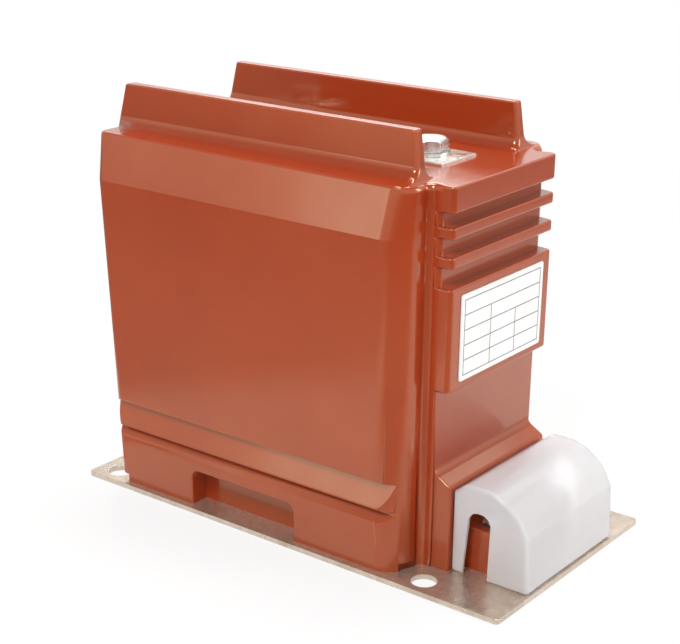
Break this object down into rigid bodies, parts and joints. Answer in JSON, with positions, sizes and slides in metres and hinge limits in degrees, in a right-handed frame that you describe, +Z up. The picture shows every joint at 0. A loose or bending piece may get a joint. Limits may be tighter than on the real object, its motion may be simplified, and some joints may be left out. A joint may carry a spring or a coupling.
{
  "type": "cast resin current transformer",
  "caption": "Cast resin current transformer on a steel base plate, with bolted primary terminals on top between two fins and covered secondary terminals at one end.",
  "frame": {"origin": "middle of the base plate's underside", "axes": "+Z up from the base plate, X along the long way of the plate with the covered secondary terminals at +X, Y across"},
  "size_m": [0.293, 0.148, 0.2345],
  "materials": {
    "resin": "smooth cast epoxy resin, glossy",
    "plate_steel": "bright zinc plated sheet",
    "screw_steel": "zinc plated",
    "terminal_metal": "silver plated copper",
    "brass": "turned",
    "copper": "drawn flat copper bar",
    "core_steel": "stacked silicon steel sheets",
    "winding": "enamelled wire under tape",
    "lead": "flat leads in an insulating sleeve",
    "cover_plastic": "translucent moulded",
    "name_sheet": "bare satin sheet"
  },
  "bodies": {
    "root": {"resin_body": "resin", "base_plate": "plate_steel", "plate_screws": "screw_steel", "plate_inserts": "brass", "primary_terminal_p1": "terminal_metal", "primary_terminal_p2": "terminal_metal", "primary_washers": "screw_steel", "primary_bolts": "screw_steel", "primary_bar": "copper", "core_one": "core_steel", "core_two": "core_steel", "secondary_winding_one": "winding", "secondary_winding_two": "winding", "secondary_leads_one": "lead", "secondary_leads_two": "lead", "secondary_studs": "brass", "secondary_clamps": "screw_steel", "secondary_screws": "screw_steel", "earth_screw": "screw_steel", "terminal_cover": "cover_plastic", "nameplate": "name_sheet"}
  },
  "joints": []
}
